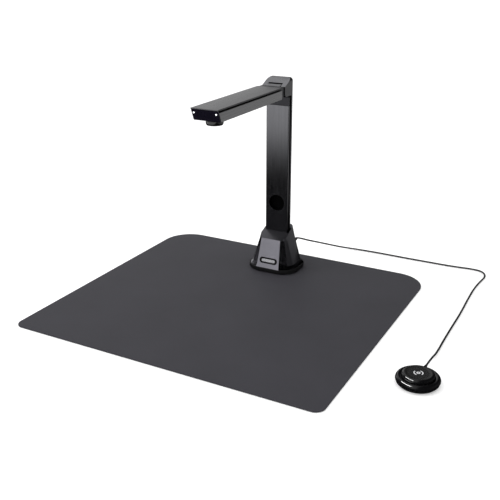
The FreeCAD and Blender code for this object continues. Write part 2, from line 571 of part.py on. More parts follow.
def make_arm():
    tray = new_body("arm_tray")
    skin = "Sizes.window_thick + 0.1"
    pad(tray, arm_profile(tray, "TraySide", "Sizes.arm_foot", "Sizes.tray_top", skin), "Sizes.arm_wide",
        both_ways=True)
    fillet(tray, "TrayFootEdges", "1",
           lambda e: along(e, 1) and e.BoundBox.ZMax < size("arm_foot") + 1e-3)
    wall = "Sizes.arm_wide / 2 - Sizes.arm_wall"
    room = rectangle(f"-({wall})", "Sizes.head_foot_front + 4", wall, "Sizes.arm_rear + 1")
    pocket(tray, outline(tray, "TrayRoom", "XY_Plane", room, "Sizes.tray_top"),
           "Sizes.tray_top - Sizes.arm_foot - Sizes.arm_wall")
    pocket(tray, circles(tray, "TrayLensHole", "XY_Plane", [("0", "Sizes.lens_back")], "Sizes.lens_neck + 0.1",
                         "Sizes.arm_foot"), "3", backwards=True)
    lamp = rectangle("-Sizes.lamp_half - 0.1", "Sizes.lamp_front - 0.1", "Sizes.lamp_half + 0.1",
                     "Sizes.lamp_rear + 0.1")
    pocket(tray, outline(tray, "TrayLampSlot", "XY_Plane", lamp, "Sizes.arm_foot"), "3", backwards=True)
    pocket(tray, circles(tray, "TrayScrewHoles", "XY_Plane", ARM_SCREWS, "2.2", "Sizes.arm_foot"), "3",
           backwards=True)

    cover = new_body("arm_cover")
    pad(cover, arm_profile(cover, "CoverPlate", "Sizes.cover_foot", "Sizes.arm_top", "0"), "Sizes.arm_wide",
        both_ways=True)
    fillet(cover, "CoverTopEdges", "Sizes.cover_edge",
           lambda e: e.BoundBox.ZMin > size("arm_top") - 1e-3 and e.BoundBox.YMin < size("arm_rear") - 1)
    rib = [("Sizes.arm_rear", "Sizes.rib_foot"), ("Sizes.arm_rear", "Sizes.cover_foot + 0.2"),
           ("Sizes.head_foot_front + 4.3", "Sizes.cover_foot + 0.2"),
           ("Sizes.head_foot_front + 4.3", "Sizes.rib_foot")]
    pad(cover, outline(cover, "CoverRib", "YZ_Plane", rib), "2 * Sizes.rib_half", both_ways=True)
    room = rectangle("-Sizes.rib_inner", "Sizes.head_foot_front + 7", "Sizes.rib_inner", "Sizes.arm_rear - 4")
    pocket(cover, outline(cover, "CoverRoom", "XY_Plane", room, "Sizes.rib_foot"),
           "Sizes.cover_foot + 0.2 - Sizes.rib_foot", backwards=True)
    pocket(cover, circles(cover, "CoverScrewHoles", "XY_Plane", ARM_SCREWS, "1.05", "Sizes.rib_foot"), "3.5",
           backwards=True)
    group("arm_screws", [screw(f"ArmScrew{i}", x, y, "Sizes.arm_foot + 0.1", "12.2")
                         for i, (x, y) in enumerate(ARM_SCREWS)])


def make_knuckle():
    body = new_body("arm_knuckle")
    up = "Sizes.hinge_height"
    neck = rectangle("Sizes.arm_rear + 0.1", f"{up} - Sizes.neck_drop", "Sizes.neck_front", "Sizes.arm_top - 0.2")
    pad(body, outline(body, "NeckSide", "YZ_Plane", neck), "2 * Sizes.neck_half", both_ways=True)
    root = rectangle("Sizes.root_front", "Sizes.arm_foot + Sizes.arm_wall + 0.1", "Sizes.arm_rear + 1",
                     "Sizes.rib_foot - 0.1")
    pad(body, outline(body, "RootSide", "YZ_Plane", root), "2 * Sizes.neck_half - 0.6", both_ways=True)
    tongue = rectangle("Sizes.neck_front - 0.5", f"{up} - Sizes.barrel_radius + 0.5", "Sizes.hinge_back",
                       f"{up} + Sizes.barrel_radius + 0.5")
    pad(body, outline(body, "TongueSide", "YZ_Plane", tongue), "2 * Sizes.barrel_half", both_ways=True)
    axis = [("Sizes.hinge_back", up)]
    pad(body, circles(body, "BarrelSide", "YZ_Plane", axis, "Sizes.barrel_radius"),
        "2 * Sizes.barrel_half", both_ways=True)
    under = f"{up} + Sizes.barrel_radius - 0.3"
    ramp = [("Sizes.neck_front - 0.1", under), ("Sizes.neck_front - 0.1", "Sizes.arm_top - 0.2"),
            ("Sizes.slot_front", "Sizes.arm_top + 1.4"), ("Sizes.slot_front", under)]
    pad(body, outline(body, "RampSide", "YZ_Plane", ramp), "2 * Sizes.ramp_half", both_ways=True)
    pocket(body, circles(body, "KnuckleBore", "YZ_Plane", axis, "Sizes.pin_radius + 0.05"), "60",
           both_ways=True)


def make_head():
    window = new_body("head_window")
    foot, top = "Sizes.arm_foot + 0.3", "Sizes.cover_foot - 0.1"
    lean = [(head_front(foot, "0.2"), foot), (head_front(top, "0.2"), top),
            (head_front(top, "Sizes.window_thick"), top), (head_front(foot, "Sizes.window_thick"), foot)]
    pad(window, outline(window, "WindowSide", "YZ_Plane", lean), "Sizes.arm_wide - 0.6", both_ways=True)
    fillet(window, "WindowEdges", "0.6", lambda e: not along(e, 0) and e.BoundBox.ZLength > 5
           and e.BoundBox.YMin < size("head_top_front") + 3)
    level = "Sizes.status_height"
    lights = [rod(f"StatusLight{i}", "Sizes.status_radius", "0.5",
                  (side, f"({head_front(level, '0.2')}) - 0.35", level), "y")
              for i, side in enumerate(("-Sizes.status_side", "Sizes.status_side"))]
    group("status_lights", lights)


def make_camera():
    barrel = new_body("lens_barrel")
    foot, bore, neck, throat = "Sizes.lens_foot", "Sizes.lens_bore", "Sizes.lens_neck", "7.5"
    seat, crown = f"{foot} + 4.9", f"{foot} + Sizes.lens_tall"
    wall = [(throat, seat), (throat, crown), (neck, crown), (neck, "Sizes.arm_foot"),
            ("Sizes.lens_radius", "Sizes.arm_foot"), ("Sizes.lens_radius", f"{foot} + 2"),
            ("Sizes.lens_radius - 0.9", foot), (bore, foot), (bore, seat)]
    revolve(barrel, outline(barrel, "BarrelWall", "XZ_Plane", wall))
    glass = new_body("lens_glass")
    edge = f"{bore} - 0.1"
    lens = [("0", f"{foot} + 2.1"), (f"{bore} / 2", f"{foot} + 2.4"), (edge, f"{foot} + 3.5"),
            (edge, f"{seat} - 0.1"), ("0", f"{seat} - 0.1")]
    revolve(glass, outline(glass, "LensHalf", "XZ_Plane", lens))
    ring = new_body("lens_ring")
    rim = [("7", f"{foot} + 0.9"), (f"{bore} - 0.05", f"{foot} + 0.9"), (f"{bore} - 0.05", f"{foot} + 2.8"),
           ("7.2", f"{foot} + 2.5")]
    revolve(ring, outline(ring, "RetainerRim", "XZ_Plane", rim))
    back = "Sizes.lens_back"
    for piece in (barrel, glass, ring):
        place(piece, y=back)
    level = f"{crown} + 0.1"
    finished("camera_board", box("CameraBoard", ("-11.5", f"{back} - 12", level),
                                 ("11.5", f"{back} + 15", f"{level} + 1.2")))
    finished("image_sensor", box("ImageSensor", ("-4.5", f"{back} - 4", f"{level} - 1.2"),
                                 ("4.5", f"{back} + 4", level)))
    half, front, rear, edge = "Sizes.lamp_half", "Sizes.lamp_front", "Sizes.lamp_rear", "Sizes.lamp_flange"
    floor = "Sizes.arm_foot + Sizes.arm_wall"
    diffuser = join("Diffuser",
                    box("DiffuserFace", (f"-{half}", front, "Sizes.arm_foot + 0.1"),
                        (half, rear, f"{floor} + 0.2")),
                    box("DiffuserFlange", (f"-{half} - {edge}", f"{front} - {edge}", floor),
                        (f"{half} + {edge}", f"{rear} + {edge}", f"{floor} + 0.9")))
    finished("lamp_diffuser", diffuser)
    lamp_level = "Sizes.arm_foot + 5.3"
    finished("lamp_board", box("LampBoard", (f"-{half}", front, lamp_level), (half, rear, f"{lamp_level} + 1.2")))
    chip, count = "Sizes.chip_half", 8
    chips = []
    for i in range(count):
        middle = f"{front} + ({rear} - {front}) * {i + 0.5} / {count}"
        chips.append(box(f"LampChip{i}", (f"-{chip}", f"{middle} - {chip}", f"{lamp_level} - 0.8"),
                         (chip, f"{middle} + {chip}", lamp_level)))
    group("lamp_chips", chips)
    ribbon_level = "Sizes.rib_foot - 2"
    finished("arm_ribbon", box("ArmRibbon", ("-Sizes.cable_half", "Sizes.lens_back + 17", ribbon_level),
                               ("Sizes.cable_half", "Sizes.root_front - 2", f"{ribbon_level} + 0.3")))


# --- Hand button ------------------------------------------------------------

def turned(label, name, corners):
    """A round part of the hand button, turned about the button's own axis."""
    body = new_body(label)
    revolve(body, outline(body, name, "XZ_Plane", corners))
    place(body, x="Sizes.puck_side", y="Sizes.puck_back")
    return body


def make_puck():
    edge, foot, lap = "Sizes.puck_radius", "Sizes.puck_foot_top", "Sizes.puck_lap"
    widest, crown, skirt = "Sizes.puck_widest", "Sizes.puck_rim_top", "Sizes.puck_skirt"
    turned("puck_foot", "PuckFoot", rectangle("16", "0", f"{edge} - 3.8", foot))
    turned("puck_base", "PuckBase", [("0", foot), (f"{edge} - 2.5", foot), (f"{edge} - 1.2", f"{foot} + 1.4"),
                                     (f"{edge} - 1.2", lap), (f"{edge} - 3.2", lap),
                                     (f"{edge} - 3.2", f"{foot} + 1.6"), ("0", f"{foot} + 1.6")])
    opening = "Sizes.puck_cap_radius + 0.3"
    shell = turned("puck_shell", "PuckShell",
                   [(f"{edge} - 2.6", f"{lap} + 0.1"), (f"{edge} - 1.1", f"{lap} + 0.1"), (edge, widest),
                    (f"{edge} - 0.4", f"{widest} + 2.3"), (f"{edge} - 1.6", f"{crown} - 0.8"),
                    (f"{edge} - 3.2", crown), (f"{edge} - 5", f"{crown} - 0.2"),
                    (opening, f"{crown} - 0.7"), (opening, f"{crown} - 2"), (f"{edge} - 4", f"{crown} - 2"),
                    (f"{edge} - 2.5", f"{widest} + 1.4")])
    tall, sleeve_radius = "Sizes.puck_gland_height", "Sizes.gland_radius"
    pocket(shell, circles(shell, "GlandHole", "XZ_Plane", [("0", tall)], f"{sleeve_radius} + 0.05", "-15"), "15")
    rim, top = "Sizes.puck_cap_radius", "Sizes.puck_top"
    under, dish = f"{top} - 2.8", f"{top} - 0.6"
    cap = [("0", under), (f"{rim} - 1.8", f"{under} - 0.6"), (f"{rim} - 1.8", skirt), (rim, skirt),
           (rim, f"{top} - 2.4"), (f"{rim} - 0.7", f"{top} - 1.1"), (f"{rim} - 2.2", f"{top} - 0.2"),
           (f"{rim} - 3.6", top), (f"{rim} - 5.2", f"{top} - 0.4"), (f"{rim} - 7", dish), ("0", dish)]
    button = turned("puck_cap", "PuckCap", cap)
    stem = "8.3"
    pad(button, circles(button, "PuckStem", "XY_Plane", [("0", "0")], "2.5", stem), f"{under} + 0.3 - {stem}")
    turned("puck_icon", "PuckIcon", rectangle("4.9", f"{dish} - 0.08", "5.8", f"{dish} + 0.15"))
    middle = ("Sizes.puck_side", "Sizes.puck_back")
    finished("puck_board", rod("PuckBoard", "17", "1.3", middle + (f"{foot} + 1.7",)))
    floor = f"{foot} + 3"
    housing = box("SwitchBlock", (f"{middle[0]} - 3", f"{middle[1]} - 3", floor),
                  (f"{middle[0]} + 3", f"{middle[1]} + 3", f"{floor} + 3"))
    finished("puck_switch", cut("SwitchBody", housing, rod("SwitchWell", "1.9", "3", middle + (f"{floor} + 1",))))
    finished("switch_plunger", rod("SwitchPlunger", "1.6", "1.9", middle + (f"{floor} + 2.15",)))
    start = f"Sizes.puck_back + {edge}"
    sleeve = rod("GlandSleeve", sleeve_radius, "8.5", (middle[0], f"{start} - 6", tall), "y")
    taper = rod("GlandTaper", sleeve_radius, "Sizes.gland_lead - 2.5", (middle[0], f"{start} + 2.5", tall), "y",
                "Sizes.cord_radius + 0.05")
    finished("puck_gland", join("PuckGland", sleeve, taper))


# --- Cord and its plug ------------------------------------------------------

def make_plug():
    side, up = "Sizes.plug_side", "Sizes.plug_height"
    tip, grip, taper = "Sizes.tip_start", "Sizes.grip_start", "Sizes.grip_end"
    pieces = [rod("PlugTip", "1.75", f"{grip} + 0.5 - {tip}", (side, tip, up), "y"),
              rod("PlugGrip", "3.5", f"{taper} - {grip}", (side, grip, up), "y"),
              rod("PlugTaper", "2.9", f"Sizes.plug_end - {taper}", (side, taper, up), "y",
                  "Sizes.cord_radius + 0.1")]
    finished("button_plug", join("ButtonPlug", *pieces))


def cord_route():
    """The corners of the cord's route, from the plug to the hand button's gland."""
    low = size("cord_radius") + 0.1
    gland = size("puck_back") + size("puck_radius") + size("gland_lead")
    rise = size("puck_gland_height")
    return [FreeCAD.Vector(*point) for point in (
        (size("plug_side"), size("plug_end"), size("plug_height")),
        (13.4, 56, 32.2), (21, 69, 25.6), (33, 84, 19.1), (47.5, 101, 11.4), (64, 116.5, 4.4),
        (86, 126.4, low), (120, 128, low), (166, 127.2, low), (212, 127.5, low), (250, 128.1, low),
        (276, 131.9, low), (294.4, 129.8, low), (303, 112.8, low), (299.9, 90, low), (297.4, 58, low),
        (298.4, 14, low), (300.2, -34, low), (300, -80, low), (300.5, -126, low), (301.4, -157, low),
        (300.8, -182, 5.2), (size("puck_side"), gland, rise))]


def cord_path(corners):
    """Straight runs joined by tangent arcs: a wire, its length and its radii."""
    edges, radii, last = [], [], corners[0]
    for before, corner, after in zip(corners, corners[1:], corners[2:]):
        back, ahead = (before - corner), (after - corner)
        turn = math.pi - back.getAngle(ahead)
        trim = 0.45 * min(back.Length, ahead.Length)
        radii.append(trim / math.tan(turn / 2))
        start = corner + back.normalize() * trim
        end = corner + ahead.normalize() * trim
        centre_way = (back + ahead).normalize()
        middle = corner + centre_way * (radii[-1] / math.cos(turn / 2) - radii[-1])
        edges.append(Part.LineSegment(last, start).toShape())
        edges.append(Part.Arc(start, middle, end).toShape())
        last = end
    edges.append(Part.LineSegment(last, corners[-1]).toShape())
    wire = Part.Wire(edges)
    return wire, wire.Length, radii


def make_cord():
    corners = cord_route()
    wire, length, radii = cord_path(corners)
    first = corners[1] - corners[0]
    section = Part.Wire(Part.makeCircle(size("cord_radius"), corners[0], first))
    shape = wire.makePipeShell([section], True, False)
    cord = doc.addObject("Part::Feature", "ButtonCord")
    cord.Shape = shape
    finished("button_cord", cord)
    expected = math.pi * size("cord_radius") ** 2 * length
    print("cord length", round(length, 1), "volume ratio", round(shape.Volume / expected, 4))
    print("cord radii", [round(r) for r in radii], "smallest", round(min(radii), 1))


# --- Build, check, export ---------------------------------------------------

make_mat()
make_plinth()
make_shell()
make_badge()
make_base_inside()
make_column()
make_rear_cover()
make_hinge()
make_arm()
make_knuckle()
make_head()
make_camera()
make_puck()
make_plug()
make_cord()
doc.recompute()

for obj in doc.Objects:
    if "Invalid" in obj.State or "Error" in obj.State:
        raise RuntimeError(f"{obj.Name} did not build: {obj.State}")

os.makedirs("parts", exist_ok=True)
for obj in PARTS:
    shape = obj.Shape
    if shape.isNull() or not shape.isValid() or not shape.Solids:
        raise RuntimeError(f"{obj.Label} has no valid solid")
    shape.exportStep(os.path.join("parts", obj.Label + ".step"))
print(len(PARTS), "sub-parts written")
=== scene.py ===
import json
import math

import bmesh
import bpy
from mathutils import Matrix, Vector

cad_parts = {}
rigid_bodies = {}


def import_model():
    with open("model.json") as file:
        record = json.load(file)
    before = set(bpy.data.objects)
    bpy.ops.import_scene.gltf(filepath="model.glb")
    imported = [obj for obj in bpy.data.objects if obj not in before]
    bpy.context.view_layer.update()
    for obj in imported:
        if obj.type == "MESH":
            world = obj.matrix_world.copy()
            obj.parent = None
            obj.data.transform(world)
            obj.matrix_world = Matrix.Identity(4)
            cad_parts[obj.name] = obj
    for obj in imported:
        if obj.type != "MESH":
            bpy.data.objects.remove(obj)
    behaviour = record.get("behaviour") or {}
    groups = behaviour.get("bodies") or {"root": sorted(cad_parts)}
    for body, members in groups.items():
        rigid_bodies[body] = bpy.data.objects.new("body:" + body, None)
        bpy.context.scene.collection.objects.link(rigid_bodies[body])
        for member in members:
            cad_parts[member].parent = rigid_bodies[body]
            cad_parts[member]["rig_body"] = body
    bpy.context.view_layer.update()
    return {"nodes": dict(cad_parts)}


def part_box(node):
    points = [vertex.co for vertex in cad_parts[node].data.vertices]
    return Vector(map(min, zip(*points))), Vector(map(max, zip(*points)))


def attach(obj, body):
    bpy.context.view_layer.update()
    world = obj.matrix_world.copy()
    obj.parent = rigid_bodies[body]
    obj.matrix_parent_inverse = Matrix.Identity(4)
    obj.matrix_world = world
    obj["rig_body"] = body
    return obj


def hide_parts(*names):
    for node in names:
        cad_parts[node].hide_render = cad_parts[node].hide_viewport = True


# Folding document camera on its work mat, with a wired hand button.
# Metres, in the row frame: +Z up, the front towards -Y, the desk at Z = 0.

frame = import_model()
nodes = frame["nodes"]
scene = bpy.context.scene
MM = 0.001


# --- Camera, light and floor --------------------------------------------------

# What metal and gloss see, as (position, brightness) stops. In the surroundings, position 0 is to the right
# and 1 to the left. On the floor, 0.5 is under the object and 1 is a metre out to the front left.
SURROUND_SHINE = [(0.03, 0.12), (0.1, 0.03), (0.2, 0.0), (0.5, 0.0), (0.56, 0.25), (0.635, 0.68),
                  (0.76, 0.97), (0.88, 1.0), (0.95, 0.3), (1.0, 0.05)]
FLOOR_SHINE = [(0.15, 0.3), (0.34, 0.24), (0.38, 0.05), (0.5, 0.0), (0.78, 0.0), (0.8, 0.03), (0.825, 0.1),
               (0.85, 0.18), (0.87, 0.26), (0.895, 0.36), (0.918, 0.47), (0.942, 0.62), (0.97, 0.9),
               (1.0, 1.0)]


def make_camera():
    azimuth, elevation, roll = math.radians(28.346), math.radians(21.734), math.radians(-0.155)
    back = Vector((math.sin(azimuth) * math.cos(elevation), -math.cos(azimuth) * math.cos(elevation),
                   math.sin(elevation)))
    right = Vector((math.cos(azimuth), math.sin(azimuth), 0))
    up = back.cross(right)
    right, up = (right * math.cos(roll) + up * math.sin(roll), up * math.cos(roll) - right * math.sin(roll))
    data = bpy.data.cameras.new("camera")
    data.sensor_width, data.lens = 36.0, 54.99
    data.clip_start, data.clip_end = 0.05, 40.0
    camera = bpy.data.objects.new("camera", data)
    scene.collection.objects.link(camera)
    turn = Matrix((right, up, back)).transposed().to_4x4()
    camera.matrix_world = Matrix.Translation((0.49470, -1.00614, 0.47488)) @ turn
    scene.camera = camera


def area_light(name, place, target, size, power):
    data = bpy.data.lights.new(name, "AREA")
    data.shape = "RECTANGLE"
    data.size, data.size_y = size
    data.energy = power
    light = bpy.data.objects.new(name, data)
    scene.collection.objects.link(light)
    light.location = place
    light.visible_glossy = False
    light.rotation_mode = "QUATERNION"
    light.rotation_quaternion = (Vector(target) - Vector(place)).to_track_quat("-Z", "Y")
    return light


def ramp_of(tree, value, stops):
    """A grey ramp through (position, brightness) stops."""
    ramp = tree.nodes.new("ShaderNodeValToRGB")
    ramp.color_ramp.interpolation = "EASE"
    elements = ramp.color_ramp.elements
    while len(elements) < len(stops):
        elements.new(0.5)
    for element, (position, shade) in zip(elements, stops):
        element.position = position
        element.color = (shade, shade, shade, 1)
    tree.links.new(value, ramp.inputs["Fac"])
    return ramp.outputs["Color"]


def make_world():
    """White all round for the eye; metal sees brightness to the left and darkness to the right."""
    world = bpy.data.worlds.new("studio")
    world.use_nodes = True
    scene.world = world
    tree = world.node_tree
    coordinates = tree.nodes.new("ShaderNodeTexCoord")
    toward = tree.nodes.new("ShaderNodeVectorMath")
    toward.operation = "DOT_PRODUCT"
    toward.inputs[1].default_value = (-1, -0.3, 0.2)
    half = tree.nodes.new("ShaderNodeMapRange")
    half.inputs["From Min"].default_value = -1
    tree.links.new(coordinates.outputs["Generated"], toward.inputs[0])
    tree.links.new(toward.outputs["Value"], half.inputs["Value"])
    shine = ramp_of(tree, half.outputs["Result"], SURROUND_SHINE)
    white = tree.nodes["Background"]
    white.inputs["Color"].default_value = (1, 1, 1, 1)
    studio = tree.nodes.new("ShaderNodeBackground")
    tree.links.new(shine, studio.inputs["Color"])
    choose_by_ray(tree, white.outputs["Background"], studio.outputs["Background"],
                  tree.nodes["World Output"].inputs["Surface"])
    world.cycles.sampling_method = "NONE"


def choose_by_ray(tree, plain, shine, output):
    """Reflections see the second shader, everything else the first."""
    path = tree.nodes.new("ShaderNodeLightPath")
    mix = tree.nodes.new("ShaderNodeMixShader")
    tree.links.new(path.outputs["Is Glossy Ray"], mix.inputs["Fac"])
    tree.links.new(plain, mix.inputs[1])
    tree.links.new(shine, mix.inputs[2])
    tree.links.new(mix.outputs["Shader"], output)


def pale_floor():
    """A white floor; metal sees it dim near the object and bright further out to the front left."""
    floor = Surface("floor", (0.93, 0.93, 0.93), 0.9)
    floor.shader.inputs["Emission Color"].default_value = (1, 1, 1, 1)
    floor.shader.inputs["Emission Strength"].default_value = 0.25
    tree = floor.tree
    reach = tree.nodes.new("ShaderNodeVectorMath")
    reach.operation = "DOT_PRODUCT"
    reach.inputs[1].default_value = (-0.475, -0.88, 0)
    tree.links.new(tree.nodes.new("ShaderNodeNewGeometry").outputs["Position"], reach.inputs[0])
    span = tree.nodes.new("ShaderNodeMapRange")
    span.inputs["From Min"].default_value = -1
    tree.links.new(reach.outputs["Value"], span.inputs["Value"])
    shade = ramp_of(tree, span.outputs["Result"], FLOOR_SHINE)
    glow = tree.nodes.new("ShaderNodeEmission")
    glow.inputs["Strength"].default_value = 2
    tree.links.new(shade, glow.inputs["Color"])
    choose_by_ray(tree, floor.shader.outputs["BSDF"], glow.outputs["Emission"],
                  tree.nodes["Material Output"].inputs["Surface"])
    floor.material.cycles.emission_sampling = "NONE"
    return floor.material


def make_studio():
    make_world()
    area_light("key", (-1.1, -0.7, 1.5), (0, -0.1, 0.1), (0.9, 0.9), 9)
    area_light("front", (0.1, -1.8, 1.0), (0.1, -0.1, 0.1), (1.2, 0.5), 2)
    # The strip's glints fall on the hand button only; make_button links it.
    strip = area_light("strip", (-0.25, -0.55, 0.8), (0.3, -0.235, 0.01), (1.0, 0.24), 36)
    strip.visible_glossy, strip.visible_diffuse = True, False
    bpy.ops.mesh.primitive_plane_add(size=30, location=(0, 0, -0.0004))
    floor = bpy.context.object
    floor.name = "floor"
    floor.data.materials.append(pale_floor())
    scene.view_settings.view_transform = "Standard"
    scene.view_settings.look = "None"


# --- Materials ----------------------------------------------------------------

class Surface:
    """A principled material with a few procedural layers in object space."""

    def __init__(self, name, colour, roughness, metallic=0.0, **sockets):
        self.material = bpy.data.materials.new(name)
        self.material.use_nodes = True
        self.material.diffuse_color = (*colour, 1)
        self.tree = self.material.node_tree
        self.shader = self.tree.nodes["Principled BSDF"]
        self.colour, self.roughness = colour, roughness
        self.shader.inputs["Base Color"].default_value = (*colour, 1)
        self.shader.inputs["Roughness"].default_value = roughness
        self.shader.inputs["Metallic"].default_value = metallic
        for socket, value in sockets.items():
            self.shader.inputs[socket.replace("_", " ")].default_value = value
        self.place = self.tree.nodes.new("ShaderNodeTexCoord").outputs["Object"]
        self.heights = []

    def new(self, kind, **values):
        node = self.tree.nodes.new(kind)
        for socket, value in values.items():
            node.inputs[socket.replace("_", " ")].default_value = value
        return node

    def link(self, source, target):
        self.tree.links.new(source, target)

    def noise(self, scale, detail=3.0, stretch=(1, 1, 1), rough=0.55):
        """Noise about its mean; scale is in features per metre, before the stretch."""
        mapping = self.new("ShaderNodeMapping", Scale=stretch)
        self.link(self.place, mapping.inputs["Vector"])
        noise = self.new("ShaderNodeTexNoise", Scale=scale, Detail=detail, Roughness=rough)
        self.link(mapping.outputs["Vector"], noise.inputs["Vector"])
        return noise.outputs["Fac"]

    def cells(self, scale, feature="F1"):
        cells = self.new("ShaderNodeTexVoronoi", Scale=scale)
        cells.feature = feature
        self.link(self.place, cells.inputs["Vector"])
        return cells.outputs["Distance"]

    def spread(self, value, low, high, start=0.3, end=0.7):
        """Map a 0 to 1 value between two numbers."""
        node = self.new("ShaderNodeMapRange", From_Min=start, From_Max=end, To_Min=low, To_Max=high)
        self.link(value, node.inputs["Value"])
        return node.outputs["Result"]

    def tint(self, value, dark, light, start=0.3, end=0.7):
        """Colour runs between two multiples of the base colour."""
        ramp = self.new("ShaderNodeValToRGB")
        self.link(value, ramp.inputs["Fac"])
        for stop, place, share in zip(ramp.color_ramp.elements, (start, end), (dark, light)):
            stop.position = place
            stop.color = (*[min(1.0, c * share) for c in self.colour], 1)
        self.link(ramp.outputs["Color"], self.shader.inputs["Base Color"])
        return self

    def rough(self, value, low, high):
        self.link(self.spread(value, low, high), self.shader.inputs["Roughness"])
        return self

    def bump(self, value, strength, depth):
        """One more height layer; depth in metres."""
        bump = self.new("ShaderNodeBump", Strength=strength, Distance=depth)
        self.link(value, bump.inputs["Height"])
        if self.heights:
            self.link(self.heights[-1].outputs["Normal"], bump.inputs["Normal"])
        self.heights.append(bump)
        self.link(bump.outputs["Normal"], self.shader.inputs["Normal"])
        return self


def brushed(name, colour, roughness, along):
    """Anodised metal with fine brush lines along one axis."""
    metal = Surface(name, colour, roughness, 1.0)
    fine = [3200, 3200, 3200]
    fine["XYZ".index(along)] = 26
    broad = [420, 420, 420]
    broad["XYZ".index(along)] = 7
    lines = metal.noise(1, 2, fine)
    bands = metal.noise(1, 2, broad)
    mix = metal.new("ShaderNodeMath")
    mix.operation = "ADD"
    half = [metal.spread(lines, 0.1, 0.4), metal.spread(bands, 0.1, 0.6)]
    metal.link(half[0], mix.inputs[0])
    metal.link(half[1], mix.inputs[1])
    metal.tint(mix.outputs["Value"], 0.84, 1.14, 0.2, 1.0)
    metal.rough(lines, roughness - 0.05, roughness + 0.08)
    return metal.bump(lines, 0.12, 0.00004).material


def cast(name, colour, roughness, metallic=0.85):
    """Satin metallic coat over a casting: fine grain and a slow colour drift."""
    metal = Surface(name, colour, roughness, metallic)
    grain, drift = metal.noise(2600, 2), metal.noise(30, 2)
    metal.tint(drift, 0.92, 1.08).rough(grain, roughness - 0.05, roughness + 0.07)
    return metal.bump(grain, 0.18, 0.00005).material


def moulded(name, colour, roughness, grain_scale=1800, strength=0.3, **sockets):
    """Moulded plastic or rubber with a spark-eroded grain."""
    plastic = Surface(name, colour, roughness, 0.0, **sockets)
    grain, drift = plastic.noise(grain_scale, 3), plastic.noise(45, 2)
    plastic.tint(drift, 0.85, 1.15).rough(grain, roughness - 0.06, roughness + 0.08)
    return plastic.bump(grain, strength, 0.00006).material


def glossy(name, colour, roughness=0.08, shine=0.4):
    """Polished plastic: a clear face with a trace of flow and fine handling marks."""
    plastic = Surface(name, colour, roughness, 0.0, Specular_IOR_Level=shine)
    flow, marks = plastic.noise(60, 2), plastic.noise(900, 4)
    plastic.tint(flow, 0.9, 1.1).rough(marks, roughness * 0.7, roughness * 1.8)
    return plastic.bump(flow, 0.04, 0.0004).material


def circuit():
    board = Surface("circuit_board", (0.015, 0.13, 0.055), 0.35, 0.0, Coat_Weight=0.4)
    tracks = board.new("ShaderNodeTexBrick", Scale=260, Mortar_Size=0.06)
    board.link(board.place, tracks.inputs["Vector"])
    board.tint(tracks.outputs["Fac"], 0.8, 1.9, 0.1, 0.9)
    return board.bump(tracks.outputs["Fac"], 0.3, 0.00003).material


def mat_surface():
    """Soft mat: a dull dark face with a fine pebbled grain and slow shade changes."""
    rubber = Surface("mat_rubber", (0.034, 0.033, 0.041), 0.72, 0.0, Sheen_Weight=0.05,
                     Sheen_Roughness=0.5, Specular_IOR_Level=0.35)
    pebbles, grain, drift = rubber.cells(950), rubber.noise(2300, 3), rubber.noise(9, 3)
    rubber.tint(drift, 0.93, 1.07).rough(grain, 0.64, 0.8)
    return rubber.bump(pebbles, 0.35, 0.00012).bump(grain, 0.3, 0.00006).material


def turned_metal(name, colour, roughness):
    metal = Surface(name, colour, roughness, 1.0)
    marks, drift = metal.noise(1500, 3), metal.noise(120, 2)
    metal.tint(drift, 0.85, 1.1).rough(marks, roughness - 0.08, roughness + 0.12)
    return metal.bump(marks, 0.1, 0.00003).material


def glass():
    lens = Surface("lens_glass", (0.72, 0.8, 0.95), 0.02, 0.0, Transmission_Weight=1.0, IOR=1.5,
                   Coat_Weight=0.5)
    lens.tint(lens.noise(200, 2), 0.96, 1.0).rough(lens.noise(700, 2), 0.01, 0.03)
    return lens.material


def lamp_white():
    milk = Surface("lamp_white", (0.86, 0.86, 0.83), 0.4, 0.0, Subsurface_Weight=0.3,
                   Subsurface_Scale=0.002)
    grain = milk.noise(2500, 2)
    milk.tint(milk.noise(60, 2), 0.96, 1.02).rough(grain, 0.34, 0.48)
    return milk.bump(grain, 0.15, 0.00003).material


def light_guide():
    light = Surface("light_guide", (0.9, 0.92, 0.95), 0.25, 0.0, Emission_Color=(1, 1, 1, 1),
                    Emission_Strength=0.9)
    light.tint(light.noise(900, 2), 0.95, 1.0).rough(light.noise(1600, 2), 0.2, 0.3)
    return light.material


